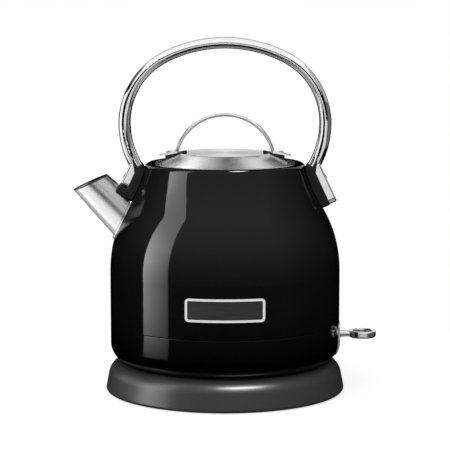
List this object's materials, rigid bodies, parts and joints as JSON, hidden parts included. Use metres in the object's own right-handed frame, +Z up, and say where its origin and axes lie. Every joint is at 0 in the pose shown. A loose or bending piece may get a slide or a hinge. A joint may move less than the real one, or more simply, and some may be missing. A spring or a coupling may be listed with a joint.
{
  "type": "electric kettle",
  "caption": "Electric kettle with a round shouldered body, loop handle, slanted spout, lift-off lid with a strap handle, side switch lever and a round power base.",
  "frame": {"origin": "on the table under the middle of the power base", "axes": "+Z up; spout towards -X, switch lever towards +X, badge faces -Y, cord inlet towards +Y"},
  "size_m": [0.2246, 0.1772, 0.262],
  "materials": {
    "body_enamel": "gloss",
    "seat_steel": "satin",
    "casing_gloss": "gloss",
    "base_plastic": "satin",
    "black_plastic": "satin",
    "chrome": "polished",
    "brushed_steel": "brushed",
    "plain_steel": "satin",
    "badge_grey": "satin",
    "rubber": "matte",
    "silicone": "matte",
    "brass": "satin",
    "aluminium": "satin",
    "plunger_plastic": "satin"
  },
  "bodies": {
    "power_base": {"base_cover": "base_plastic", "base_plate": "base_plastic", "base_feet": "rubber", "base_screws": "plain_steel", "base_socket": "black_plastic", "socket_contacts": "brass", "cord_gland": "rubber"},
    "connector": {"connector_plug": "black_plastic", "connector_pins": "brass"},
    "kettle": {"lower_casing": "casing_gloss", "casing_screws": "plain_steel", "heater_plate": "plain_steel", "floor_seal": "silicone", "heater_studs": "plain_steel", "heat_spreader": "aluminium", "heating_element": "plain_steel", "element_leads": "brass", "control_module": "black_plastic", "bimetal_discs": "brass", "steam_tube": "plain_steel", "tube_grommet": "silicone", "switch_housing": "black_plastic", "steam_bimetal": "brass", "lever_pin": "plain_steel", "fixed_contacts": "brass", "switch_bezel": "plain_steel", "body_shell": "body_enamel", "lid_seat": "seat_steel", "spout": "brushed_steel", "badge_frame": "chrome", "badge_plate": "badge_grey", "loop_handle": "chrome", "lever_bracket": "black_plastic", "spout_bracket": "black_plastic", "handle_bosses": "plain_steel", "handle_screws": "plain_steel"},
    "lever": {"switch_lever": "chrome"},
    "plunger": {"contact_plunger": "plunger_plastic", "contact_bridge": "brass"},
    "filter": {"filter_frame": "black_plastic", "filter_mesh": "brushed_steel"},
    "lid": {"lid_cover": "brushed_steel", "lid_plug": "black_plastic", "lid_seal": "silicone", "lid_handle": "chrome", "lid_pads": "black_plastic", "lid_rivets": "plain_steel"}
  },
  "joints": [
    {"name": "kettle_lift", "type": "slide", "parent": "power_base", "child": "connector", "axis": [0, 0, 1], "range_m": [0, 0.08]},
    {"name": "kettle_turn", "type": "hinge", "parent": "connector", "child": "kettle", "pos_m": [0, 0, 0.03], "axis": [0, 0, 1], "continuous": true},
    {"name": "lid_lift", "type": "slide", "parent": "kettle", "child": "lid", "axis": [0, 0, 1], "range_m": [0, 0.04]},
    {"name": "filter_pull", "type": "slide", "parent": "kettle", "child": "filter", "axis": [0.712, 0, -0.7022], "range_m": [0, 0.03]},
    {"name": "lever_press", "type": "hinge", "parent": "kettle", "child": "lever", "pos_m": [0.077, 0, 0.0413], "axis": [0, 1, 0], "range_deg": [0, 12]},
    {"name": "plunger_slide", "type": "slide", "parent": "kettle", "child": "plunger", "axis": [0, 0, 1], "range_m": [0, 0.0026]}
  ],
  "couplings": [
    {"joint": "plunger_slide", "follows": "lever_press", "m_per_rad": 0.012}
  ]
}
